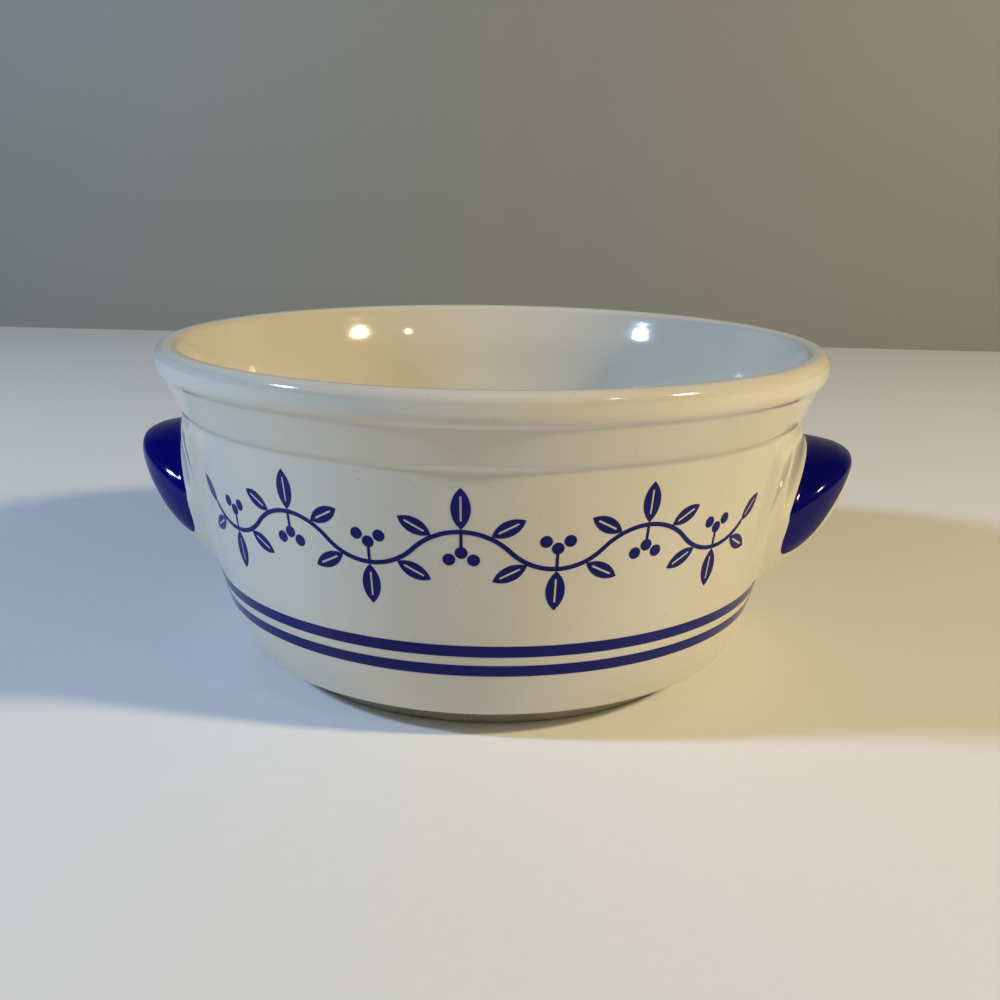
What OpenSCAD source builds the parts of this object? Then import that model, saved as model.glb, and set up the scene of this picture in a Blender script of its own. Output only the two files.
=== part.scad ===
// Lug soup bowl: a glazed ceramic bowl with a flared collar, two half-moon lugs,
// two painted bands and a printed vine garland on its front.
// The bowl stands on z = 0 with its axis on Z. The lugs point along +X and -X, and the front is -Y.

/* [Bowl] */
// Outer diameter over the rim bead
rim_d = 152.4; // [140:0.1:175]
// Height from the table to the top of the rim
bowl_h = 73.7; // [66:0.1:90]
// How far the straight wall widens from its lower to its upper end, on each side
wall_flare = 4.5; // [2:0.05:7]
// Height of the straight wall
wall_h = 28.5; // [26:0.1:31]
// Radius of the belly curve under the straight wall
belly_r = 107; // [90:1:160]
// Height of the lower edge of the belly over the table
belly_low_z = 6; // [5:0.1:8]
// Thickness of the wall
wall_t = 4.4; // [3.4:0.1:5.2]
// Thickness of the floor over the foot ring
floor_t = 5.2; // [4:0.1:7]
// Radius of the curve between the floor and the wall inside
inside_curve_r = 20; // [12:0.5:24]

/* [Collar and rim] */
// Height of the collar and the rim together
collar_h = 15.2; // [13:0.1:18]
// How far the lower edge of the collar steps out from the wall
collar_step = 1.2; // [0.6:0.1:1.8]
// How far the collar widens from its lower edge to its top, on each side
collar_flare = 2.8; // [1:0.1:4]
// Height of the rim over the collar
rim_h = 6.7; // [5.6:0.1:8]
// How far the rim bead stands out from the top of the collar
bead_step = 1.6; // [0.6:0.1:2.4]
// Rise of the step from the collar to the rim bead
bead_step_h = 1; // [0.5:0.1:1.4]
// Radius of the rounded outer edge of the rim
rim_round_r = 2.2; // [1.6:0.1:2.4]
// Thickness of the rim
rim_t = 4.5; // [3.6:0.1:5.4]

/* [Foot] */
// How far the foot ring stands in from the lower edge of the belly
foot_inset = 8; // [5:0.1:12]
// Width of the ring face that the bowl rests on
foot_w = 5; // [3:0.1:8]
// Height of the foot ring
foot_h = 2.6; // [2:0.1:3.4]

/* [Lugs] */
// How far a lug stands out from the wall
lug_reach = 17.1; // [12:0.1:19]
// How far the upper root of the lugs lies under the collar
lug_drop = 0.4; // [0.2:0.1:4]
// Height of the lugs from upper to lower root
lug_h = 34.8; // [31:0.1:38]
// Half of the angle round the bowl that the lug itself covers
lug_half_angle = 23; // [19:0.5:26]
// How softly the sides of a lug run out into its base
lug_side_power = 1.2; // [1:0.05:2]
// Half of the angle round the bowl that the base of a lug covers
lug_base_half_angle = 31; // [28:0.5:34]
// Angle round the bowl that the rounded edge of the base covers
lug_base_edge_angle = 3; // [2:0.1:6]
// Thickness of the base of a lug under the collar
lug_base_t = 2.4; // [1:0.1:3.2]
// Height over which the upper edge of the base rounds off
lug_base_rise = 2.8; // [1:0.1:4]
// How far the top of a lug lies under its root on the wall
lug_shelf_drop = 5.8; // [3:0.1:7]
// How much lower the top of a lug lies at its sides
lug_crown = 16; // [8:0.5:18]
// Size of the fillet between that root and the top of the lug
lug_shelf_fillet = 0.8; // [0.4:0.05:2]
// Thickness at which a lug ends on the wall
lug_edge_t = 0.25; // [0.15:0.01:0.4]
// Depth of the finger hollow under a lug
hollow_depth = 2.5; // [0:0.1:4]
// Half width of the finger hollow, in degrees round the bowl
hollow_half_angle = 10.5; // [8:0.5:12]
// How far from the wall the blue of a lug begins
blue_margin = 3.7; // [3.5:0.1:5]
// Thickness of the painted colour on the lugs
blue_t = 0.25; // [0.15:0.01:0.5]
// Space between a lug and its painted colour
blue_seat = 0.12; // [0.1:0.01:0.2]

/* [Painted bands] */
// Bare space between the lower root of the lugs and the upper band
band_clear = 0.5; // [0.3:0.1:3]
// Height of each band
band_h = 2.5; // [1:0.1:3.5]
// Bare space between the two bands
band_gap = 2; // [0.8:0.1:4]
// Thickness of the printed and painted colour on the wall
print_t = 0.2; // [0.1:0.01:0.4]

/* [Garland] */
// Angle round the bowl that the vine covers
garland_angle = 105; // [80:1:110]
// Number of half waves in the vine
wave_n = 7; // [3:2:9]
// How far the middle line of the vine lies under the collar
garland_drop = 15.5; // [14:0.1:17]
// Slope of the vine where it crosses its middle line, in degrees
wave_bend = 46; // [30:1:55]
// Width of the vine
stem_w = 0.9; // [0.5:0.05:1.5]
// Length of a middle leaf
leaf_l = 8.2; // [6:0.1:8.6]
// Width of a middle leaf
leaf_w = 3.7; // [2.5:0.1:4.5]
// Length of a side leaf
side_leaf_l = 7; // [5:0.1:7.6]
// Width of a side leaf
side_leaf_w = 3.1; // [2:0.1:4]
// Tilt of a side leaf from the middle leaf, in degrees
side_leaf_tilt = 62; // [45:1:75]
// Width of the bare vein in a leaf
vein_w = 0.4; // [0.2:0.05:0.8]
// Radius of a berry
berry_r = 1.2; // [0.7:0.05:1.5]
// Length of a berry stalk
stalk_l = 3; // [2:0.1:4]

/* [Hidden] */

ivory = [0.93, 0.91, 0.84];
bare_clay = [0.80, 0.77, 0.70];
cobalt = [0.06, 0.07, 0.38];
$fn = 96;

rim_r = rim_d / 2;
rim_crown = rim_t / 2;
mouth_r = rim_r - rim_t;
collar_top_r = rim_r - bead_step;
collar_top_z = bowl_h - rim_h;
wall_top_z = bowl_h - collar_h;
collar_low_z = wall_top_z + collar_step;
collar_low_r = collar_top_r - collar_flare;
wall_top_r = collar_low_r - collar_step;
wall_low_z = wall_top_z - wall_h;
wall_low_r = wall_top_r - wall_flare;
lug_top_z = wall_top_z - lug_drop;
band_low_z = lug_top_z - lug_h - band_clear - 2 * band_h - band_gap;
garland_z = wall_top_z - garland_drop;
belly_steps = 10;
round_steps = 8;
overrun = 0.5;

// The belly is an arc that leaves the straight wall smoothly at wall_low_z.
wall_lean = atan(wall_flare / wall_h);
belly_cx = wall_low_r - belly_r * cos(wall_lean);
belly_cz = wall_low_z + belly_r * sin(wall_lean);

// Outer radius of the bowl below the collar, at height z.
function cone_r(z) = wall_low_r + (z - wall_low_z) * tan(wall_lean);
function belly_at(z) = belly_cx + sqrt(belly_r * belly_r - (belly_cz - z) * (belly_cz - z));
function outer_r(z) = z < wall_low_z ? belly_at(z) : cone_r(z);
function arc_points(cx, cz, r, from, to, steps) =
    [for (i = [0:steps]) let (a = from + (to - from) * i / steps) [cx + r * cos(a), cz + r * sin(a)]];

foot_r = belly_at(belly_low_z) - foot_inset;

// Inside of the bowl: a flat floor, one large curve and a wall that follows the outside.
floor_z = foot_h + floor_t;
inside_corner_r = cone_r(floor_z + inside_curve_r) - wall_t;
inside_cx = inside_corner_r - inside_curve_r * cos(wall_lean);
inside_cz = floor_z + inside_curve_r;

module bowl_profile() {
    belly = [for (i = [0:belly_steps])
        let (z = belly_low_z + (wall_low_z - belly_low_z) * i / belly_steps) [belly_at(z), z]];
    rim_z = bowl_h - rim_round_r;
    rim_outside = arc_points(rim_r - rim_round_r, rim_z, rim_round_r, 0, 90, round_steps);
    rim_inside = arc_points(mouth_r + rim_crown, bowl_h - rim_crown, rim_crown, 90, 180, round_steps);
    inside = arc_points(inside_cx, inside_cz, inside_curve_r, -wall_lean, -90, round_steps);
    polygon(concat(
        [[0, foot_h], [foot_r + foot_h / 2, foot_h]],
        belly,
        [[wall_top_r, wall_top_z], [collar_low_r, collar_low_z], [collar_top_r, collar_top_z],
         [collar_top_r + (rim_r - collar_top_r) * 2 / 3, collar_top_z + bead_step_h]],
        rim_outside,
        rim_inside,
        [[wall_top_r - wall_t, wall_top_z]],
        inside,
        [[0, floor_z]]
    ));
}

module bowl_body() {
    color(ivory) rotate_extrude() bowl_profile();
}

module foot_ring() {
    color(bare_clay) difference() {
        cylinder(h = foot_h, r = foot_r);
        translate([0, 0, -overrun]) cylinder(h = foot_h + 2 * overrun, r = foot_r - foot_w);
    }
}

// A lug is drawn on a grid: columns go round the bowl, rows go down its section.
// The section is a smooth curve through these shares of the reach and of the height.
lug_section_shares = [[0, 0], [0.2, 0.01], [0.46, 0.03], [0.73, 0.065], [0.93, 0.135], [1, 0.295],
                      [0.95, 0.53], [0.8, 0.69], [0.6, 0.83], [0.36, 0.95], [0.14, 0.985], [0, 1]];
lug_spans = len(lug_section_shares) - 1;
lug_rows = 3 * lug_spans;
lug_row_power = 1.25;
lug_column_angle = 2.1;
lug_columns = 2 * ceil(lug_base_half_angle / lug_column_angle);
lug_peak_share = 0.5;

function clamp_index(i) = max(0, min(lug_spans, i));
function smooth_between(a, b, c, d, t) =
    0.5 * ((2 * b) + (c - a) * t + (2 * a - 5 * b + 4 * c - d) * t * t + (3 * b - a - 3 * c + d) * t * t * t);
function section_share(t, k) =
    let (place = t * lug_spans, i = min(floor(place), lug_spans - 1), part = place - i)
    smooth_between(lug_section_shares[clamp_index(i - 1)][k], lug_section_shares[i][k],
                   lug_section_shares[i + 1][k], lug_section_shares[clamp_index(i + 2)][k], part);

// Outline seen from above: a round front whose sides run out into a wide and low base.
function plan_share(a) = pow(max(0, 1 - pow(a / lug_half_angle, 2)), lug_side_power);
function ease(v) = v * v * (3 - 2 * v);
function base_plan_share(a) = ease(max(0, min(1, (lug_base_half_angle - abs(a)) / lug_base_edge_angle)));

// The finger hollow is a shallow round dent in the middle of the lower face.
hollow_drop_share = 0.62;
hollow_reach_share = 0.3;
function bump(v, half) = abs(v) < half ? pow(cos(90 * v / half), 2) : 0;
function hollow_at(a, drop) =
    hollow_depth * bump(a, hollow_half_angle) * bump(drop - hollow_drop_share, hollow_reach_share);

function lug_main(a, t) = (lug_reach - lug_edge_t - lug_base_t) * plan_share(a) * section_share(t, 0);
// Under the collar the top falls away from its root by a small fillet, and its crown falls to both sides.
function lug_step(a, t) =
    (lug_shelf_drop + lug_crown * pow(min(1, abs(a) / lug_half_angle), 2))
    * (1 - exp(-lug_main(a, t) / lug_shelf_fillet));
function lug_z(a, t) =
    let (drop = section_share(t, 1)) lug_top_z - lug_h * drop - lug_step(a, t) * (1 - drop);
// The base is thickest under the collar and thins to nothing at the lower root.
function lug_base(a, z) =
    lug_base_t * base_plan_share(a) * (1 - exp((z - lug_top_z) / lug_base_rise))
    * (z - lug_top_z + lug_h) / lug_h;
function lug_off(a, t) =
    lug_edge_t + max(0, lug_base(a, lug_z(a, t)) + lug_main(a, t) - hollow_at(a, section_share(t, 1)));
function on_bowl(a, z, off) = [(outer_r(z) + off) * cos(a), (outer_r(z) + off) * sin(a), z];
function lug_at(a, t) = on_bowl(a, lug_z(a, t), lug_off(a, t));
// A point lifted off the lug at a right angle to its surface.
near_angle = 0.05;
near_t = 0.002;
function lug_point(a, t, lift) =
    let (across = lug_at(a + near_angle, t) - lug_at(a - near_angle, t),
         down = lug_at(a, min(1, t + near_t)) - lug_at(a, max(0, t - near_t)),
         out = cross(down, across))
    lug_at(a, t) + out / norm(out) * lift;
function lug_angle(i) = lug_base_half_angle * (2 * i / lug_columns - 1);

// Faces of a closed skin between two grids of points, the inner grid first, each n columns by m rows.
function grid_index(i, j, layer, n, m) = (layer * n + i) * m + j;
function grid_faces(n, m) = concat(
    [for (i = [0:n - 2], j = [0:m - 2], layer = [0, 1])
        let (a = grid_index(i, j, layer, n, m), b = grid_index(i + 1, j, layer, n, m),
             c = grid_index(i + 1, j + 1, layer, n, m), d = grid_index(i, j + 1, layer, n, m))
        each layer == 1 ? [[a, b, c], [a, c, d]] : [[a, c, b], [a, d, c]]],
    [for (i = [0:n - 2], j = [0, m - 1])
        let (a = grid_index(i, j, 0, n, m), b = grid_index(i + 1, j, 0, n, m),
             c = grid_index(i + 1, j, 1, n, m), d = grid_index(i, j, 1, n, m))
        each j == 0 ? [[a, b, c], [a, c, d]] : [[a, c, b], [a, d, c]]],
    [for (i = [0, n - 1], j = [0:m - 2])
        let (a = grid_index(i, j, 0, n, m), b = grid_index(i, j + 1, 0, n, m),
             c = grid_index(i, j + 1, 1, n, m), d = grid_index(i, j, 1, n, m))
        each i == 0 ? [[a, c, b], [a, d, c]] : [[a, b, c], [a, c, d]]]
);

module lug() {
    places = [for (i = [0:lug_columns], j = [0:lug_rows]) [lug_angle(i), pow(j / lug_rows, lug_row_power)]];
    inner = [for (p = places) on_bowl(p[0], lug_z(p[0], p[1]), 0)];
    outer = [for (p = places) lug_at(p[0], p[1])];
    polyhedron(points = concat(inner, outer), faces = grid_faces(lug_columns + 1, lug_rows + 1));
}

module lug_right() {
    color(ivory) lug();
}

module lug_left() {
    color(ivory) mirror([1, 0, 0]) lug();
}

// The blue of a lug covers its top and both flanks. It begins at a set distance from the wall
// and ends below at a tall arch round the finger hollow.
blue_column_angle = 1.6;
blue_rows = 16;
blue_arch_drop_share = 0.16;
blue_foot_drop_share = 0.68;
blue_foot_angle_share = 0.84;
blue_arch_power = 5;
blue_tip_share = 0.12;
blue_search_steps = 18;

// Finds where the lug's surface reaches a given distance from the wall, between two places on its section.
function find_off(a, off, low, high, steps) =
    steps == 0 ? (low + high) / 2
    : let (mid = (low + high) / 2, keep = lug_off(a, mid) < off)
      find_off(a, off, keep ? mid : low, keep ? high : mid, steps - 1);
function find_drop(drop, low, high, steps) =
    steps == 0 ? (low + high) / 2
    : let (mid = (low + high) / 2, keep = section_share(mid, 1) < drop)
      find_drop(drop, keep ? mid : low, keep ? high : mid, steps - 1);
function find_angle(off, low, high, steps) =
    steps == 0 ? low
    : let (mid = (low + high) / 2, keep = lug_off(mid, lug_peak_share) > off)
      find_angle(off, keep ? mid : low, keep ? high : mid, steps - 1);
blue_half_angle = find_angle(blue_margin, 0, lug_half_angle, blue_search_steps);
blue_columns = 2 * ceil(blue_half_angle / blue_column_angle);
blue_foot_angle = blue_half_angle * blue_foot_angle_share;
function arch_share(a) =
    1 - pow(max(0, 1 - pow(abs(a) / blue_foot_angle, blue_arch_power)), blue_arch_power);
function arch_drop(a) =
    blue_arch_drop_share + (blue_foot_drop_share - blue_arch_drop_share) * arch_share(a);
// The smaller of two values, with a rounded change from one to the other.
function soft_min(a, b, size) = min(a, b) - size / 4 * pow(max(0, 1 - abs(a - b) / size), 2);
function blue_top_t(a) = find_off(a, blue_margin, 0, lug_peak_share, blue_search_steps);
function blue_low_t(a) =
    soft_min(find_drop(arch_drop(a), 0, 1, blue_search_steps),
             find_off(a, blue_margin, 1, lug_peak_share, blue_search_steps), blue_tip_share);

module lug_blue() {
    angles = [for (i = [1:blue_columns - 1]) blue_half_angle * sin(90 * (2 * i / blue_columns - 1))];
    points = [for (layer = [0, 1], a = angles, j = [0:blue_rows])
        let (top = blue_top_t(a), low = blue_low_t(a), t = top + (low - top) * j / blue_rows)
        lug_point(a, t, blue_seat + layer * blue_t)];
    polyhedron(points = points, faces = grid_faces(len(angles), blue_rows + 1));
}

module lug_blue_right() {
    color(cobalt) lug_blue();
}

module lug_blue_left() {
    color(cobalt) mirror([1, 0, 0]) lug_blue();
}

module band(low_z) {
    steps = 4;
    heights = [for (i = [0:steps]) low_z + band_h * i / steps];
    rotate_extrude() polygon(concat(
        [for (z = heights) [outer_r(z) + print_t, z]],
        [for (i = [steps:-1:0]) [outer_r(heights[i]), heights[i]]]
    ));
}

module lower_band() {
    color(cobalt) band(band_low_z);
}

module upper_band() {
    color(cobalt) band(band_low_z + band_h + band_gap);
}

// The garland is a running vine. Each half wave is an arc of vine with three leaves on its outside
// and three berries on a stalk in its hollow. The middle half wave stands upright over the front,
// and a leaf carries on from each end of the vine.
wave_pitch = garland_angle / wave_n;
wave_mid = (wave_n - 1) / 2;
wave_half_w = cone_r(garland_z) * sin(wave_pitch / 2);
wave_arc_r = wave_half_w / sin(wave_bend);
wave_rise = wave_arc_r * (1 - cos(wave_bend));
side_leaf_place = 26;
print_depth = wall_t / 2;

module print_skin() {
    difference() {
        cylinder(h = wall_top_z - wall_low_z, r1 = wall_low_r + print_t, r2 = wall_top_r + print_t);
        cylinder(h = wall_top_z - wall_low_z, r1 = wall_low_r, r2 = wall_top_r);
    }
}

// Keeps what lies in the printed layer on the wall.
module printed() {
    color(cobalt) intersection() {
        translate([0, 0, wall_low_z]) print_skin();
        children();
    }
}

// Stands a flat shape against the wall, at an angle round the bowl from the front.
module on_front(a) {
    rotate([0, 0, a])
        translate([0, print_depth - cone_r(garland_z), garland_z])
            rotate([90, 0, 0]) linear_extrude(height = 2 * print_depth) children();
}

// Repeats a shape on every half wave, upside down on every second one.
module half_waves() {
    for (i = [0:wave_n - 1])
        on_front((i - wave_mid) * wave_pitch)
            mirror([0, (i - wave_mid) % 2 == 0 ? 0 : 1, 0]) children();
}

module leaf(l, w) {
    r = (l * l + w * w) / (4 * w);
    difference() {
        intersection() {
            translate([r - w / 2, l / 2]) circle(r);
            translate([w / 2 - r, l / 2]) circle(r);
        }
        translate([-vein_w / 2, l / 5]) square([vein_w, l * 3 / 5]);
    }
}

// Puts a shape on the vine, turned away from the middle of the half wave.
module at_vine(a, tilt, off) {
    translate([0, wave_rise - wave_arc_r])
        rotate(-a) translate([0, wave_arc_r + off]) rotate(a - tilt) children();
}

module vine_stem() {
    printed() half_waves() {
        intersection() {
            translate([0, wave_rise - wave_arc_r]) difference() {
                circle(wave_arc_r + stem_w / 2);
                circle(wave_arc_r - stem_w / 2);
            }
            translate([-wave_arc_r, 0]) square([2 * wave_arc_r, wave_arc_r]);
        }
        translate([-stem_w / 3, wave_rise - stalk_l]) square([stem_w * 2 / 3, stalk_l]);
    }
}

module vine_leaves() {
    printed() {
        half_waves() {
            at_vine(0, 0, stem_w / 2) leaf(leaf_l, leaf_w);
            for (side = [-1, 1])
                at_vine(side * side_leaf_place, side * side_leaf_tilt, stem_w / 2)
                    leaf(side_leaf_l, side_leaf_w);
        }
        for (side = [-1, 1])
            on_front(side * garland_angle / 2) rotate(side * (wave_bend - 90)) leaf(side_leaf_l, side_leaf_w);
    }
}

module vine_berries() {
    printed() half_waves() translate([0, wave_rise - stalk_l - berry_r]) {
        circle(berry_r);
        for (side = [-1, 1])
            translate([side * berry_r * 1.9, -berry_r * 1.2]) circle(berry_r);
    }
}

bowl_body();
foot_ring();
lug_right();
lug_left();
lug_blue_right();
lug_blue_left();
upper_band();
lower_band();
vine_stem();
vine_leaves();
vine_berries();
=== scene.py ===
import math

import bpy
from mathutils import Matrix, Vector


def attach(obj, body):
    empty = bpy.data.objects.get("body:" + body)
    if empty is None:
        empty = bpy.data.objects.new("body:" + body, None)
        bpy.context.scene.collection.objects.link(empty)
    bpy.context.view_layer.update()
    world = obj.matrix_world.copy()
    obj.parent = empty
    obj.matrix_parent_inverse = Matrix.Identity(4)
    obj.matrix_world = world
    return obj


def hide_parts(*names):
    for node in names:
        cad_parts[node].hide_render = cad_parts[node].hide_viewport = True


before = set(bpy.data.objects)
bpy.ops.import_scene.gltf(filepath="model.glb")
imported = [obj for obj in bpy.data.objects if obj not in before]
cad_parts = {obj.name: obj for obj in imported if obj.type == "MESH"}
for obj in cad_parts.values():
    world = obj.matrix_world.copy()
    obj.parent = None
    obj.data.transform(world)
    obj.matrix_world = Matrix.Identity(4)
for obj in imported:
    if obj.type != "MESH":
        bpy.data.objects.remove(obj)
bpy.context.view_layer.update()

# Sizes are in millimetres until they reach a mesh, and MM turns them into Blender's metres.
MM = 0.001

# Bowl, as in the source of the part
RIM_R = 76.2
BOWL_H = 73.7
MOUTH_R = 71.7
WALL_TOP_R, WALL_TOP_Z = 70.6, 58.5
WALL_LOW_R, WALL_LOW_Z = 66.1, 30.0
BELLY_R = 107.0
BELLY_LOW_Z = 6.0
WALL_T = 4.4
FLOOR_Z = 7.8
INSIDE_CURVE_R = 20.0
COLLAR_STEP = 1.2
COLLAR_TOP_R, COLLAR_TOP_Z = 74.6, 67.0
BEAD_STEP, BEAD_STEP_H = 1.1, 1.0
FOOT_R, FOOT_W, FOOT_H = 51.35, 5.0, 2.6

# How far the bend inside under the rim lies out and up from the inside of the wall's top, and
# how far the corner of the floor lies in from the wall where the inside curve begins
INSIDE_BEND_OUT, INSIDE_BEND_UP = 1.5, 5.9
FLOOR_CORNER_IN = 5.2

# Radii of the rounded corners, from the foot up the outside and down the inside, and the gap
# between the two ends of the foot's outline
UNDERSIDE_ROUND, BELLY_LOW_ROUND, BELLY_ROUND = 0.8, 0.9, 20.0
WALL_TOP_ROUND, COLLAR_LOW_ROUND, COLLAR_TOP_ROUND = 1.6, 3.0, 1.8
BEAD_LOW_ROUND, BEAD_ROUND = 2.4, 3.0
CROWN_ROUND_SHARE = 0.98
INSIDE_BEND_ROUND = 42.0
FOOT_EDGE_ROUND = 0.5
OUTLINE_GAP = 0.01

# How finely the turned pieces are divided: round the axis, along straight stretches, round corners
TURN_SEGMENTS = 256
BELLY_STEPS = 6
BAND_STEPS = 5
STRETCH_STEP = 1.6
CORNER_STEP_ANGLE = 9
FEWEST_CORNER_STEPS = 3
MERGE_DISTANCE = 0.002

# Lugs
LUG_REACH = 17.1
LUG_TOP_Z = 58.1
LUG_H = 34.8
LUG_HALF_ANGLE, LUG_SIDE_POWER = 23.0, 1.2
LUG_BASE_HALF_ANGLE, LUG_BASE_EDGE_ANGLE, LUG_BASE_T, LUG_BASE_RISE = 31.0, 3.0, 2.4, 2.8
LUG_SHELF_DROP, LUG_CROWN, LUG_SHELF_FILLET = 5.8, 16.0, 0.8
LUG_SECTION_SHARES = [
    (0, 0), (0.2, 0.01), (0.46, 0.03), (0.73, 0.065), (0.93, 0.135), (1, 0.295),
    (0.95, 0.53), (0.8, 0.69), (0.6, 0.83), (0.36, 0.95), (0.14, 0.985), (0, 1),
]
HOLLOW_DEPTH = 2.5
HOLLOW_HALF_ANGLE = 10.5
HOLLOW_DROP, HOLLOW_REACH = 0.62, 0.3
BLUE_MARGIN = 3.7
BLUE_ARCH_DROP, BLUE_FOOT_DROP = 0.16, 0.68
BLUE_FOOT_ANGLE_SHARE, BLUE_ARCH_POWER = 0.84, 5
BLUE_TIP = 0.12
BLUE_EDGE_SHARE = 0.9995
LUG_PEAK = 0.5
LUG_COLUMNS, LUG_ROWS, LUG_ROW_POWER = 120, 90, 1.4
BLUE_COLUMNS, BLUE_ROWS = 96, 40
LUG_SMOOTH_ANGLE = 60.0

# Steps that the slope of a lug is measured over, and how often a search halves its range
NEAR_ANGLE, NEAR_T = 0.05, 0.002
SEARCH_STEPS = 24

# Painted bands and printed vine
BAND_LOW_Z, BAND_H, BAND_GAP = 15.8, 2.5, 2.0
GARLAND_SPAN, WAVE_N, GARLAND_Z, WAVE_BEND = 105.0, 7, 43.0, 46.0
STEM_W, STALK_W_SHARE, STALK_L, BERRY_R = 0.9, 2 / 3, 3.0, 1.2
BERRY_APART, BERRY_LOWER = 1.9, 1.2
LEAF_L, LEAF_W = 8.2, 3.7
SIDE_LEAF_L, SIDE_LEAF_W, SIDE_LEAF_TILT, SIDE_LEAF_PLACE = 7.0, 3.1, 62.0, 26.0
LEAF_COLUMN_SHARES = (0, 0.28, 0.5, 0.5, 0.72, 1)
LEAF_ROWS, LEAF_TIP_HALF_W = 20, 0.02
VEIN_W, VEIN_MOST_SHARE, VEIN_START, VEIN_END = 0.4, 0.3, 0.2, 0.8
ARC_COLUMNS, ARC_ROWS, STALK_COLUMNS, STALK_ROWS, BERRY_CELLS = 24, 2, 2, 6, 8

# How far the colours stand on the glaze, and how deep each piece is let into what carries it
PAINT_T = 0.06
LET_IN = 0.3


def sin(a):
    return math.sin(math.radians(a))


def cos(a):
    return math.cos(math.radians(a))


WALL_LEAN = math.degrees(math.atan2(WALL_TOP_R - WALL_LOW_R, WALL_TOP_Z - WALL_LOW_Z))
BELLY_CX = WALL_LOW_R - BELLY_R * cos(WALL_LEAN)
BELLY_CZ = WALL_LOW_Z + BELLY_R * sin(WALL_LEAN)


def cone_r(z):
    return WALL_LOW_R + (z - WALL_LOW_Z) * math.tan(math.radians(WALL_LEAN))


def outer_r(z):
    """Outer radius of the bowl below the collar, at height z."""
    if z < WALL_LOW_Z:
        return BELLY_CX + math.sqrt(BELLY_R**2 - (BELLY_CZ - z) ** 2)
    return cone_r(z)


# Modelling helpers


def deselect():
    if bpy.context.object and bpy.context.object.mode != "OBJECT":
        bpy.ops.object.mode_set(mode="OBJECT")
    bpy.ops.object.select_all(action="DESELECT")


def smooth(piece, angle=40.0):
    """Smooth shading, but for edges sharper than angle degrees."""
    deselect()
    piece.select_set(True)
    bpy.context.view_layer.objects.active = piece
    bpy.ops.object.shade_smooth_by_angle(angle=math.radians(angle))


def finish_piece(piece, slot, material, *nodes):
    """Gives a piece its finish and body, and hides the CAD nodes that it stands for."""
    piece.data.materials.clear()
    piece.data.materials.append(material)
    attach(piece, "root")
    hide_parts(*nodes)


def rounded(corners):
    """An outline in (radius, height) with each corner (radius, height, round) rounded off,
    and its straight stretches divided so that smooth shading stays true."""
    points = []
    for i, (r, z, radius) in enumerate(corners):
        here = Vector((r, z))
        if radius == 0 or i in (0, len(corners) - 1):
            points.append(here)
            continue
        back = (Vector(corners[i - 1][:2]) - here).normalized()
        on = (Vector(corners[i + 1][:2]) - here).normalized()
        half = math.acos(max(-1.0, min(1.0, back.dot(on)))) / 2
        run = radius / math.tan(half)
        centre = here + (back + on).normalized() * radius / math.sin(half)
        start, end = here + back * run - centre, here + on * run - centre
        turn = start.angle_signed(end)
        steps = max(FEWEST_CORNER_STEPS, round(abs(math.degrees(turn)) / CORNER_STEP_ANGLE))
        for k in range(steps + 1):
            a = -turn * k / steps
            points.append(centre + Vector((
                start.x * math.cos(a) - start.y * math.sin(a),
                start.x * math.sin(a) + start.y * math.cos(a),
            )))
    fine = [points[0]]
    for p in points[1:]:
        parts = max(1, math.ceil((p - fine[-1]).length / STRETCH_STEP))
        a = fine[-1]
        fine += [a.lerp(p, k / parts) for k in range(1, parts + 1)]
    return fine


def lathe(name, outline, closed):
    """Turns an outline round the Z axis: one point is drawn out along it, then the line is spun."""
    deselect()
    start = Vector((outline[0].x, 0, outline[0].y)) * MM
    bpy.ops.mesh.primitive_plane_add(size=MM, location=(0, 0, 0))
    piece = bpy.context.object
    piece.name = name
    bpy.ops.object.mode_set(mode="EDIT")
    bpy.ops.mesh.merge(type="CENTER")
    bpy.ops.transform.translate(value=start)
    ends = outline[1:] + (outline[:1] if closed else [])
    for a, b in zip(outline, ends):
        move = Vector((b.x - a.x, 0, b.y - a.y)) * MM
        bpy.ops.mesh.extrude_region_move(TRANSFORM_OT_translate={"value": move})
    bpy.ops.mesh.select_all(action="SELECT")
    bpy.ops.mesh.spin(steps=TURN_SEGMENTS, angle=math.tau, center=(0, 0, 0), axis=(0, 0, 1))
    bpy.ops.mesh.select_all(action="SELECT")
    bpy.ops.mesh.remove_doubles(threshold=MERGE_DISTANCE * MM)
    bpy.ops.mesh.normals_make_consistent(inside=False)
    bpy.ops.object.mode_set(mode="OBJECT")
    return piece


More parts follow.
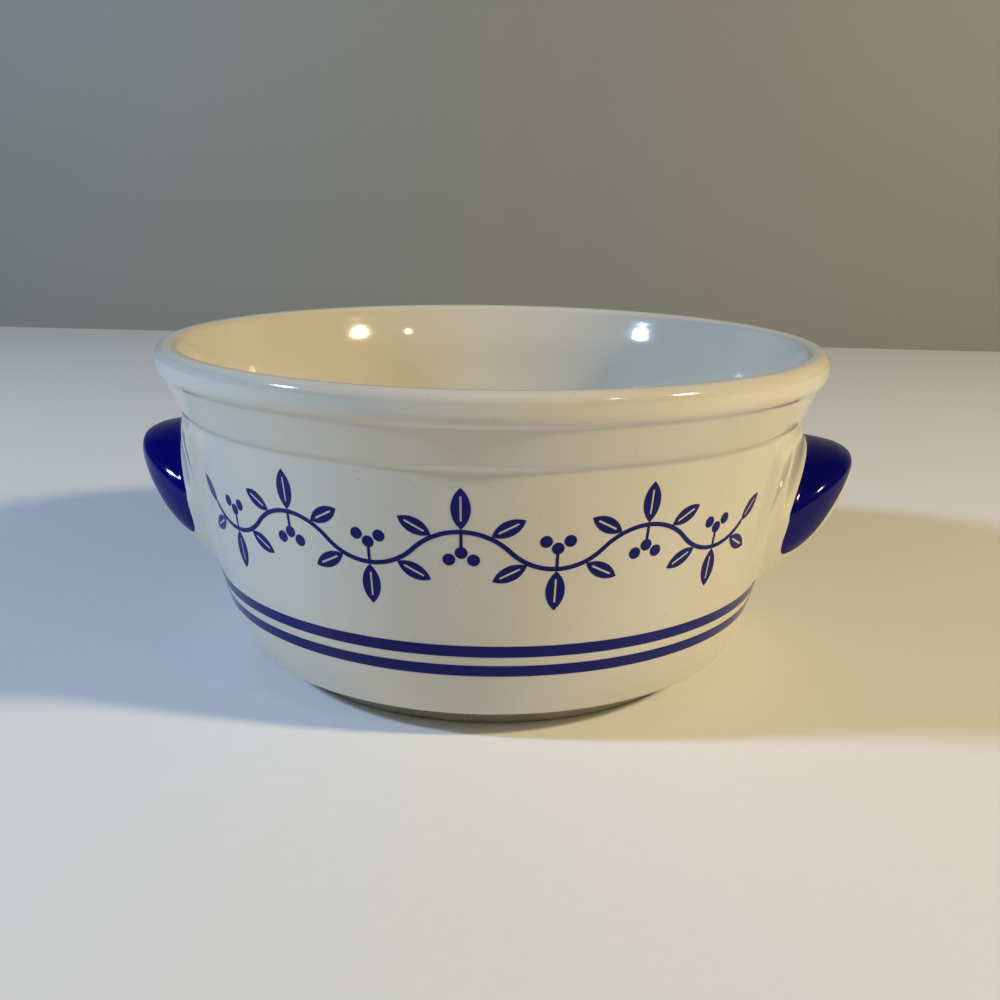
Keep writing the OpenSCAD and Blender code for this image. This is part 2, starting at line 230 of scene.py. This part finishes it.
def laid_sheet(name, columns, rows, place, bare=None):
    """A thin closed piece: a flat grid is drawn up into two layers, and place(u, v, top) in mm
    lays each point where it goes, with u and v from 0 to 1. Cells that bare(u, v) names are left out."""
    deselect()
    bpy.ops.mesh.primitive_grid_add(x_subdivisions=columns, y_subdivisions=rows, size=1)
    piece = bpy.context.object
    piece.name = name
    if bare:
        bpy.ops.object.mode_set(mode="EDIT")
        bpy.ops.mesh.select_all(action="DESELECT")
        bpy.ops.object.mode_set(mode="OBJECT")
        for face in piece.data.polygons:
            face.select = bare(face.center.x + 0.5, face.center.y + 0.5)
        bpy.ops.object.mode_set(mode="EDIT")
        bpy.ops.mesh.delete(type="FACE")
        bpy.ops.object.mode_set(mode="OBJECT")
    bpy.ops.object.mode_set(mode="EDIT")
    bpy.ops.mesh.select_all(action="SELECT")
    bpy.ops.mesh.extrude_region_move(TRANSFORM_OT_translate={"value": (0, 0, 1)})
    bpy.ops.object.mode_set(mode="OBJECT")
    for vertex in piece.data.vertices:
        x, y, z = vertex.co
        vertex.co = Vector(place(x + 0.5, y + 0.5, z > 0.5)) * MM
    bpy.ops.object.mode_set(mode="EDIT")
    bpy.ops.mesh.select_all(action="SELECT")
    bpy.ops.mesh.normals_make_consistent(inside=False)
    bpy.ops.object.mode_set(mode="OBJECT")
    return piece


def joined(name, parts):
    """All parts as one piece."""
    deselect()
    for part in parts:
        part.select_set(True)
    bpy.context.view_layer.objects.active = parts[0]
    bpy.ops.object.join()
    parts[0].name = name
    return parts[0]


def mirrored(piece, name):
    """A copy on the other side of the bowl."""
    copy = piece.copy()
    copy.data = piece.data.copy()
    copy.name = name
    bpy.context.scene.collection.objects.link(copy)
    deselect()
    copy.select_set(True)
    bpy.context.view_layer.objects.active = copy
    bpy.ops.object.mode_set(mode="EDIT")
    bpy.ops.mesh.select_all(action="SELECT")
    bpy.ops.transform.mirror(constraint_axis=(True, False, False), center_override=(0, 0, 0))
    bpy.ops.mesh.normals_make_consistent(inside=False)
    bpy.ops.object.mode_set(mode="OBJECT")
    return copy


# Materials: each noise has a scale in blotches a metre, and each bump a depth in metres

DRIFT_SCALE, SPECK_SCALE, GLOSS_SCALE = 28, 1500, 90
RIPPLE_SCALE, RIPPLE_DEPTH, RIPPLE_STRENGTH = 45, 0.0006, 0.4
PEEL_SCALE, PEEL_DEPTH, PEEL_STRENGTH = 900, 0.00003, 0.25
DRIFT_RANGE, SPECK_RANGE, GLOSS_RANGE = (0.35, 0.7), (0.735, 0.79), (0.3, 0.75)
SPECK_TONE_SHARE = 0.72
ROUGHNESS_DRIFT = 1.9
GLAZE_IOR = 1.5

STAIN_SCALE, STAIN_RANGE = 60, (0.3, 0.75)
GRIT_SCALE, GRIT_RANGE, GRIT_DEPTH, GRIT_STRENGTH = 2600, (0.62, 0.72), 0.0002, 0.6
CLAY_DARK, CLAY_PALE, GRIT_TONE = (0.46, 0.41, 0.32), (0.66, 0.61, 0.51), (0.25, 0.2, 0.14)
CLAY_ROUGHNESS = 0.85

GRAIN_SCALE, GRAIN_RANGE, GRAIN_TONE_SHARE = 300, (0.3, 0.7), 0.985
STAGE_ROUGHNESS = 0.55

BLACK, WHITE = (0, 0, 0), (1, 1, 1)


def new_material(name):
    material = bpy.data.materials.new(name)
    material.use_nodes = True
    return material, material.node_tree, material.node_tree.nodes["Principled BSDF"]


def add(tree, kind, **inputs):
    """A new node, with the values of its inputs by name."""
    node = tree.nodes.new(kind)
    for key, value in inputs.items():
        node.inputs[key.replace("_", " ")].default_value = value
    return node


def noise(tree, scale, detail=3, roughness=0.5):
    """Noise on the piece's own coordinates, scale in blotches a metre."""
    place = tree.nodes.get("Place") or tree.nodes.new("ShaderNodeTexCoord")
    place.name = "Place"
    node = add(tree, "ShaderNodeTexNoise", Scale=scale, Detail=detail, Roughness=roughness)
    tree.links.new(place.outputs["Object"], node.inputs["Vector"])
    return node


def ramp(tree, source, span, colour_low, colour_high):
    """A colour that goes from one tone to another while the source goes over the span."""
    node = tree.nodes.new("ShaderNodeValToRGB")
    ends = node.color_ramp.elements
    ends[0].position, ends[1].position = span
    ends[0].color = (*colour_low, 1)
    ends[1].color = (*colour_high, 1)
    tree.links.new(source.outputs["Fac"], node.inputs["Fac"])
    return node.outputs["Color"]


def dotted(tree, mask, ground, dots):
    """The ground colour, with dots of one tone where the mask is white."""
    node = tree.nodes.new("ShaderNodeMix")
    node.data_type = "RGBA"
    node.inputs[7].default_value = (*dots, 1)
    tree.links.new(mask, node.inputs[0])
    tree.links.new(ground, node.inputs[6])
    return node.outputs[2]


def bump(tree, shader, layers):
    """Stacks bumps, each (noise, depth in metres, strength)."""
    normal = None
    for height, depth, strength in layers:
        node = add(tree, "ShaderNodeBump", Strength=strength, Distance=depth)
        tree.links.new(height.outputs["Fac"], node.inputs["Height"])
        if normal:
            tree.links.new(normal, node.inputs["Normal"])
        normal = node.outputs["Normal"]
    tree.links.new(normal, shader.inputs["Normal"])


def glaze(name, thin, full, roughness, mirror=0.5):
    """A glossy glaze: its colour drifts between two tones, with fine specks, and its surface
    has the slow ripple and the fine peel of fired glass. mirror is its Specular IOR Level."""
    material, tree, shader = new_material(name)
    tone = ramp(tree, noise(tree, DRIFT_SCALE, detail=2.5), DRIFT_RANGE, thin, full)
    specks = ramp(tree, noise(tree, SPECK_SCALE, detail=1), SPECK_RANGE, BLACK, WHITE)
    colour = dotted(tree, specks, tone, tuple(c * SPECK_TONE_SHARE for c in full))
    tree.links.new(colour, shader.inputs["Base Color"])
    smoothest, roughest = (roughness,) * 3, (roughness * ROUGHNESS_DRIFT,) * 3
    gloss = ramp(tree, noise(tree, GLOSS_SCALE), GLOSS_RANGE, smoothest, roughest)
    tree.links.new(gloss, shader.inputs["Roughness"])
    shader.inputs["IOR"].default_value = GLAZE_IOR
    shader.inputs["Specular IOR Level"].default_value = mirror
    bump(tree, shader, [
        (noise(tree, RIPPLE_SCALE, detail=1), RIPPLE_DEPTH, RIPPLE_STRENGTH),
        (noise(tree, PEEL_SCALE, detail=2), PEEL_DEPTH, PEEL_STRENGTH),
    ])
    return material


def clay(name):
    """Bare fired clay: matt, gritty and a little stained."""
    material, tree, shader = new_material(name)
    stain = noise(tree, STAIN_SCALE, detail=5, roughness=0.6)
    tone = ramp(tree, stain, STAIN_RANGE, CLAY_DARK, CLAY_PALE)
    grit = noise(tree, GRIT_SCALE, detail=2)
    colour = dotted(tree, ramp(tree, grit, GRIT_RANGE, BLACK, WHITE), tone, GRIT_TONE)
    tree.links.new(colour, shader.inputs["Base Color"])
    shader.inputs["Roughness"].default_value = CLAY_ROUGHNESS
    bump(tree, shader, [(grit, GRIT_DEPTH, GRIT_STRENGTH)])
    return material


IVORY = glaze("ivory glaze", (0.65, 0.61, 0.51), (0.685, 0.65, 0.555), roughness=0.06)
COBALT = glaze(
    "cobalt glaze", (0.002, 0.002, 0.11), (0.003, 0.003, 0.15), roughness=0.06, mirror=0.12
)
COBALT_PRINT = glaze(
    "cobalt print", (0.003, 0.004, 0.11), (0.006, 0.008, 0.16), roughness=0.09, mirror=0.15
)
CLAY = clay("bare clay")


# Bowl body: one outline with rounded corners, turned round the axis


def bowl_outline():
    belly = []
    for i in range(BELLY_STEPS + 1):
        z = BELLY_LOW_Z + (WALL_LOW_Z - BELLY_LOW_Z) * i / BELLY_STEPS
        belly.append((outer_r(z), z, BELLY_ROUND))
    belly[0] = (*belly[0][:2], BELLY_LOW_ROUND)
    belly[-1] = (*belly[-1][:2], 0)
    inside_corner = cone_r(FLOOR_Z + INSIDE_CURVE_R) - WALL_T
    rim_crown = (RIM_R - MOUTH_R) / 2
    return rounded([
        (0, FOOT_H, 0),
        (FOOT_R + FOOT_H / 2, FOOT_H, UNDERSIDE_ROUND),
        *belly,
        (WALL_TOP_R, WALL_TOP_Z, WALL_TOP_ROUND),
        (WALL_TOP_R + COLLAR_STEP, WALL_TOP_Z + COLLAR_STEP, COLLAR_LOW_ROUND),
        (COLLAR_TOP_R, COLLAR_TOP_Z, COLLAR_TOP_ROUND),
        (COLLAR_TOP_R + BEAD_STEP, COLLAR_TOP_Z + BEAD_STEP_H, BEAD_LOW_ROUND),
        (RIM_R, BOWL_H - rim_crown * 2, BEAD_ROUND),
        (RIM_R, BOWL_H, rim_crown * CROWN_ROUND_SHARE),
        (MOUTH_R, BOWL_H, rim_crown * CROWN_ROUND_SHARE),
        (WALL_TOP_R - WALL_T + INSIDE_BEND_OUT, WALL_TOP_Z + INSIDE_BEND_UP, INSIDE_BEND_ROUND),
        (inside_corner - FLOOR_CORNER_IN, FLOOR_Z, INSIDE_CURVE_R),
        (0, FLOOR_Z, 0),
    ])


bowl = lathe("bowl", bowl_outline(), False)
smooth(bowl)
finish_piece(bowl, "ivory_glaze", IVORY, "bowl_body")


# Foot: a ring under the bowl, let into it at its top. Its outline starts and ends on its lower face


def foot_outline():
    middle, inner, top = FOOT_R - FOOT_W / 2, FOOT_R - FOOT_W, FOOT_H + LET_IN
    return rounded([
        (middle, 0, 0),
        (FOOT_R, 0, FOOT_EDGE_ROUND),
        (FOOT_R, top, 0),
        (inner, top, 0),
        (inner, 0, FOOT_EDGE_ROUND),
        (middle - OUTLINE_GAP, 0, 0),
    ])


foot = lathe("foot", foot_outline(), True)
smooth(foot)
finish_piece(foot, "bare_clay", CLAY, "foot_ring")


# Lugs: a section is swept round the bowl into a half-moon, on a low base that reaches up to the collar


def smooth_between(a, b, c, d, t):
    """The curve through four even points, at t of the way from b to c."""
    bend = (2 * a - 5 * b + 4 * c - d) * t**2 + (3 * b - a - 3 * c + d) * t**3
    return b + ((c - a) * t + bend) / 2


def section_share(t, k):
    """The reach (k = 0) or the drop (k = 1) of the section at t, as shares."""
    spans = len(LUG_SECTION_SHARES) - 1
    i = min(int(t * spans), spans - 1)
    near = [LUG_SECTION_SHARES[max(0, min(spans, i + d))][k] for d in (-1, 0, 1, 2)]
    return smooth_between(*near, t * spans - i)


def plan_share(a):
    """The half-moon outline seen from above, a degrees round from the lug's middle."""
    return max(0, 1 - (a / LUG_HALF_ANGLE) ** 2) ** LUG_SIDE_POWER


def base_plan_share(a):
    """The base is even and has a steep rounded edge on each side."""
    share = min(1, max(0, (LUG_BASE_HALF_ANGLE - abs(a)) / LUG_BASE_EDGE_ANGLE))
    return share * share * (3 - 2 * share)


def hump(v, half):
    """A smooth hump: 1 at zero, falling to nothing at half on both sides."""
    return cos(90 * v / half) ** 2 if abs(v) < half else 0


def lug_main(a, t):
    """How far the half-moon stands out from its base."""
    return (LUG_REACH - LUG_BASE_T) * plan_share(a) * section_share(t, 0)


def lug_z(a, t):
    """The top lies under its root by a step with a small fillet, and its crown falls to both sides."""
    drop = section_share(t, 1)
    step = LUG_SHELF_DROP + LUG_CROWN * min(1, abs(a) / LUG_HALF_ANGLE) ** 2
    step *= 1 - math.exp(-lug_main(a, t) / LUG_SHELF_FILLET)
    return LUG_TOP_Z - LUG_H * drop - step * (1 - drop)


def lug_base(a, z):
    """The base is thickest under the collar and thins to nothing at the lower root."""
    rise = 1 - math.exp((z - LUG_TOP_Z) / LUG_BASE_RISE)
    return LUG_BASE_T * base_plan_share(a) * rise * (z - LUG_TOP_Z + LUG_H) / LUG_H


def lug_off(a, t):
    """How far the lug stands out from the wall, a degrees round from its middle and at t down
    its section."""
    down = section_share(t, 1) - HOLLOW_DROP
    hollow = hump(a, HOLLOW_HALF_ANGLE) * hump(down, HOLLOW_REACH)
    return max(0, lug_base(a, lug_z(a, t)) + lug_main(a, t) - HOLLOW_DEPTH * hollow)


def on_bowl(a, z, off):
    """A point off millimetres outside the bowl, a degrees round from +X."""
    r = outer_r(z) + off
    return (r * cos(a), r * sin(a), z)


def lug_at(a, t):
    return Vector(on_bowl(a, lug_z(a, t), lug_off(a, t)))


def lug_point(a, t, lift):
    """A point on the lug, lifted off it at a right angle to its surface."""
    across = lug_at(a + NEAR_ANGLE, t) - lug_at(a - NEAR_ANGLE, t)
    down = lug_at(a, min(1, t + NEAR_T)) - lug_at(a, max(0, t - NEAR_T))
    return lug_at(a, t) + down.cross(across).normalized() * lift


def search(low, high, below):
    """The place between low and high where below() stops being true."""
    for _ in range(SEARCH_STEPS):
        middle = (low + high) / 2
        if below(middle):
            low = middle
        else:
            high = middle
    return (low + high) / 2


BLUE_HALF_ANGLE = search(0, LUG_HALF_ANGLE, lambda a: lug_off(a, LUG_PEAK) > BLUE_MARGIN)


def soft_min(a, b, size):
    """The smaller of two values, with a rounded change from one to the other."""
    return min(a, b) - size / 4 * max(0, 1 - abs(a - b) / size) ** 2


def blue_edges(a):
    """Where the blue begins and ends on the section, in a tall arch round the finger hollow."""
    rise = 1 - (abs(a) / (BLUE_HALF_ANGLE * BLUE_FOOT_ANGLE_SHARE)) ** BLUE_ARCH_POWER
    arch = BLUE_ARCH_DROP + (BLUE_FOOT_DROP - BLUE_ARCH_DROP) * (1 - max(0, rise) ** BLUE_ARCH_POWER)
    top = search(0, LUG_PEAK, lambda t: lug_off(a, t) < BLUE_MARGIN)
    low = soft_min(
        search(0, 1, lambda t: section_share(t, 1) < arch),
        search(1, LUG_PEAK, lambda t: lug_off(a, t) < BLUE_MARGIN),
        BLUE_TIP,
    )
    return top, low


def place_lug(u, v, top):
    """The outer layer is the lug's skin, let in at its rim, and the inner one lies in the wall."""
    a = LUG_BASE_HALF_ANGLE * sin(90 * (2 * u - 1))
    t = v**LUG_ROW_POWER
    if top:
        return lug_point(a, t, -LET_IN if u in (0, 1) or v in (0, 1) else 0)
    return on_bowl(a, lug_z(a, t), -WALL_T / 2)


def place_blue(u, v, top):
    a = BLUE_HALF_ANGLE * BLUE_EDGE_SHARE * sin(90 * (2 * u - 1))
    start, end = blue_edges(a)
    return lug_point(a, start + (end - start) * v, PAINT_T if top else -LET_IN)


lug_right = laid_sheet("right_lug", LUG_COLUMNS, LUG_ROWS, place_lug)
smooth(lug_right, LUG_SMOOTH_ANGLE)
blue_right = laid_sheet("right_lug_blue", BLUE_COLUMNS, BLUE_ROWS, place_blue)
smooth(blue_right, LUG_SMOOTH_ANGLE)
lug_left = mirrored(lug_right, "left_lug")
blue_left = mirrored(blue_right, "left_lug_blue")
finish_piece(lug_right, "ivory_glaze", IVORY, "lug_right")
finish_piece(lug_left, "ivory_glaze", IVORY, "lug_left")
finish_piece(blue_right, "cobalt_glaze", COBALT, "lug_blue_right")
finish_piece(blue_left, "cobalt_glaze", COBALT, "lug_blue_left")


# Painted bands: thin rings that follow the belly


for name, low, node in (
    ("low_band", BAND_LOW_Z, "lower_band"),
    ("high_band", BAND_LOW_Z + BAND_H + BAND_GAP, "upper_band"),
):
    heights = [low + BAND_H * i / BAND_STEPS for i in range(BAND_STEPS + 1)]
    outside = [Vector((outer_r(z) + PAINT_T, z)) for z in heights]
    inside = [Vector((p.x - PAINT_T - LET_IN, p.y)) for p in reversed(outside)]
    piece = lathe(name, outside + inside, True)
    smooth(piece)
    finish_piece(piece, "cobalt_print", COBALT_PRINT, node)


# Printed vine: flat shapes drawn in (across, up) millimetres and laid on the wall

WAVE_PITCH = GARLAND_SPAN / WAVE_N
WAVE_MID = (WAVE_N - 1) / 2
WAVE_HALF_W = cone_r(GARLAND_Z) * sin(WAVE_PITCH / 2)
WAVE_ARC_R = WAVE_HALF_W / sin(WAVE_BEND)
WAVE_RISE = WAVE_ARC_R * (1 - cos(WAVE_BEND))


def on_wall(front, x, y, top):
    """Lays a flat point on the wall, front degrees round from the middle of the front."""
    z = GARLAND_Z + y
    r = cone_r(z)
    a = math.radians(front) + math.asin(x / r)
    r += PAINT_T if top else -LET_IN
    return (r * math.sin(a), -r * math.cos(a), z)


def leaf(front, flip, root, tilt, length, width):
    """A pointed leaf with a bare vein, from its root on the vine, tilted from upright."""
    columns = len(LEAF_COLUMN_SHARES) - 1
    arc_r = (length**2 + width**2) / (4 * width)

    def place(u, v, top):
        up = length * v
        bulge = math.sqrt(arc_r**2 - (up - length / 2) ** 2) - arc_r
        half = max(LEAF_TIP_HALF_W, bulge + width / 2)
        column = round(u * columns)
        side = 1 if column > columns / 2 else -1
        share = abs(LEAF_COLUMN_SHARES[column] - 0.5) * 2
        slit = min(VEIN_W / 2, half * VEIN_MOST_SHARE)
        across = side * (slit + (half - slit) * share)
        x = root[0] + across * cos(tilt) + up * sin(tilt)
        y = root[1] - across * sin(tilt) + up * cos(tilt)
        return on_wall(front, x, -y if flip else y, top)

    def vein(u, v):
        return abs(u - 0.5) < 0.5 / columns and VEIN_START < v < VEIN_END

    return laid_sheet("leaf", columns, LEAF_ROWS, place, vein)


def berry(front, flip, x, y):
    """A round berry, printed solid."""

    def place(u, v, top):
        p, q = 2 * u - 1, 2 * v - 1
        dx = BERRY_R * p * math.sqrt(1 - q * q / 2)
        dy = BERRY_R * q * math.sqrt(1 - p * p / 2)
        return on_wall(front, x + dx, -(y + dy) if flip else y + dy, top)

    return laid_sheet("berry", BERRY_CELLS, BERRY_CELLS, place)


def vine_arc(front, flip):
    """One arc of the wavy stem, up or, flipped, down."""

    def place(u, v, top):
        a = WAVE_BEND * (2 * u - 1)
        r = WAVE_ARC_R + STEM_W * (v - 0.5)
        x, y = r * sin(a), r * cos(a) - WAVE_ARC_R + WAVE_RISE
        return on_wall(front, x, -y if flip else y, top)

    return laid_sheet("arc", ARC_COLUMNS, ARC_ROWS, place)


def stalk(front, flip):
    """The short stalk that the berries hang on, inside an arc."""

    def place(u, v, top):
        x, y = STEM_W * STALK_W_SHARE * (u - 0.5), WAVE_RISE - STALK_L * v
        return on_wall(front, x, -y if flip else y, top)

    return laid_sheet("stalk", STALK_COLUMNS, STALK_ROWS, place)


stems, leaves, berries = [], [], []
for i in range(WAVE_N):
    front = (i - WAVE_MID) * WAVE_PITCH
    flip = (i - WAVE_MID) % 2 == 1
    stems += [vine_arc(front, flip), stalk(front, flip)]
    leaves.append(leaf(front, flip, (0, WAVE_RISE + STEM_W / 2), 0, LEAF_L, LEAF_W))
    for side in (-1, 1):
        reach = WAVE_ARC_R + STEM_W / 2
        root = (
            side * reach * sin(SIDE_LEAF_PLACE),
            reach * cos(SIDE_LEAF_PLACE) - WAVE_ARC_R + WAVE_RISE,
        )
        leaves.append(leaf(front, flip, root, side * SIDE_LEAF_TILT, SIDE_LEAF_L, SIDE_LEAF_W))
    low = WAVE_RISE - STALK_L - BERRY_R
    berries.append(berry(front, flip, 0, low))
    for side in (-1, 1):
        lower = low - BERRY_R * BERRY_LOWER
        berries.append(berry(front, flip, side * BERRY_R * BERRY_APART, lower))
for side in (-1, 1):
    end, tilt = side * GARLAND_SPAN / 2, side * (90 - WAVE_BEND)
    leaves.append(leaf(end, False, (0, 0), tilt, SIDE_LEAF_L, SIDE_LEAF_W))

for name, parts, node in (
    ("stem_print", stems, "vine_stem"),
    ("leaf_print", leaves, "vine_leaves"),
    ("berry_print", berries, "vine_berries"),
):
    piece = joined(name, parts)
    smooth(piece)
    finish_piece(piece, "cobalt_print", COBALT_PRINT, node)


# Stage: a pale floor and a grey backdrop, in metres

FLOOR_HALF, BACKDROP_Y = 1.6, 0.57


def stage_plane(name, place, turn, colour):
    """A large plane with a faint grain, turned about X."""
    deselect()
    bpy.ops.mesh.primitive_plane_add(size=2 * FLOOR_HALF, location=place, rotation=(turn, 0, 0))
    plane = bpy.context.object
    plane.name = name
    material, tree, shader = new_material(name)
    darker = tuple(c * GRAIN_TONE_SHARE for c in colour)
    tone = ramp(tree, noise(tree, GRAIN_SCALE), GRAIN_RANGE, darker, colour)
    tree.links.new(tone, shader.inputs["Base Color"])
    shader.inputs["Roughness"].default_value = STAGE_ROUGHNESS
    plane.data.materials.append(material)


stage_plane("floor", (0, 0, 0), 0, (0.85, 0.845, 0.83))
stage_plane("backdrop", (0, BACKDROP_Y, FLOOR_HALF), math.pi / 2, (0.285, 0.28, 0.245))


# Camera: where the photograph was taken from, found by fitting the rim, the bands and the foot.
# Places are in millimetres, turns in degrees, and the lens goes with a sensor of SENSOR_W
CAMERA_DISTANCE, CAMERA_H = 258.8, 106.0
CAMERA_ROUND, CAMERA_YAW, CAMERA_DOWN, CAMERA_ROLL = 4.5, 0.48, 15.59, 0.94
CAMERA_LENS, SENSOR_W, CLIP_START = 39.6, 36, 10

deselect()
bpy.ops.object.camera_add()
camera = bpy.context.object
camera.name = "camera"
camera.data.lens = CAMERA_LENS
camera.data.sensor_width = SENSOR_W
camera.data.clip_start = CLIP_START * MM
eye = Vector((CAMERA_DISTANCE * sin(CAMERA_ROUND), -CAMERA_DISTANCE * cos(CAMERA_ROUND), CAMERA_H))
camera.matrix_world = (
    Matrix.Translation(eye * MM)
    @ Matrix.Rotation(math.radians(CAMERA_ROUND - CAMERA_YAW), 4, "Z")
    @ Matrix.Rotation(math.radians(90 - CAMERA_DOWN), 4, "X")
    @ Matrix.Rotation(math.radians(CAMERA_ROLL), 4, "Z")
)
bpy.context.scene.camera = camera


# Lamps: round softboxes that face the bowl, with the height of their aim in metres
LAMP_AIM_Z = 0.04


def lamp(name, azimuth, elevation, distance, radius, power, colour):
    """Azimuth goes round from +X towards +Y and elevation up from the floor, in degrees.
    The distance and the radius are in metres and the power is in watts."""
    place = Vector((
        distance * cos(elevation) * cos(azimuth),
        distance * cos(elevation) * sin(azimuth),
        distance * sin(elevation),
    ))
    deselect()
    bpy.ops.object.light_add(type="AREA", location=place)
    softbox = bpy.context.object
    softbox.name = name
    softbox.data.shape = "DISK"
    softbox.data.size = 2 * radius
    softbox.data.energy = power
    softbox.data.color = colour
    aim = Vector((0, 0, LAMP_AIM_Z))
    softbox.rotation_euler = (aim - place).to_track_quat("-Z", "Y").to_euler()


lamp("left_lamp", -160, 35, 1.0, 0.045, 6.7, (0.48, 0.68, 1.0))
lamp("right_lamp", -18, 35, 1.0, 0.045, 7.1, (1.0, 0.81, 0.48))
lamp("front_lamp", -43, 37, 1.1, 0.03, 0.5, (1.0, 0.84, 0.60))


# World: a dim, even light. Where the backdrop ends, the camera sees a plain grey, which lights nothing
ROOM_COLOUR, ROOM_STRENGTH = (1.0, 0.91, 0.82, 1), 0.055
SEEN_COLOUR = (0.27, 0.265, 0.24, 1)

world = bpy.data.worlds.new("soft room")
bpy.context.scene.world = world
world.use_nodes = True
tree = world.node_tree
room_light = tree.nodes["Background"]
room_light.inputs["Color"].default_value = ROOM_COLOUR
room_light.inputs["Strength"].default_value = ROOM_STRENGTH
seen = add(tree, "ShaderNodeBackground", Color=SEEN_COLOUR, Strength=1)
ray = tree.nodes.new("ShaderNodeLightPath")
choice = tree.nodes.new("ShaderNodeMixShader")
tree.links.new(ray.outputs["Is Camera Ray"], choice.inputs[0])
tree.links.new(room_light.outputs[0], choice.inputs[1])
tree.links.new(seen.outputs[0], choice.inputs[2])
tree.links.new(choice.outputs[0], tree.nodes["World Output"].inputs["Surface"])

bpy.context.scene.view_settings.view_transform = "Standard"
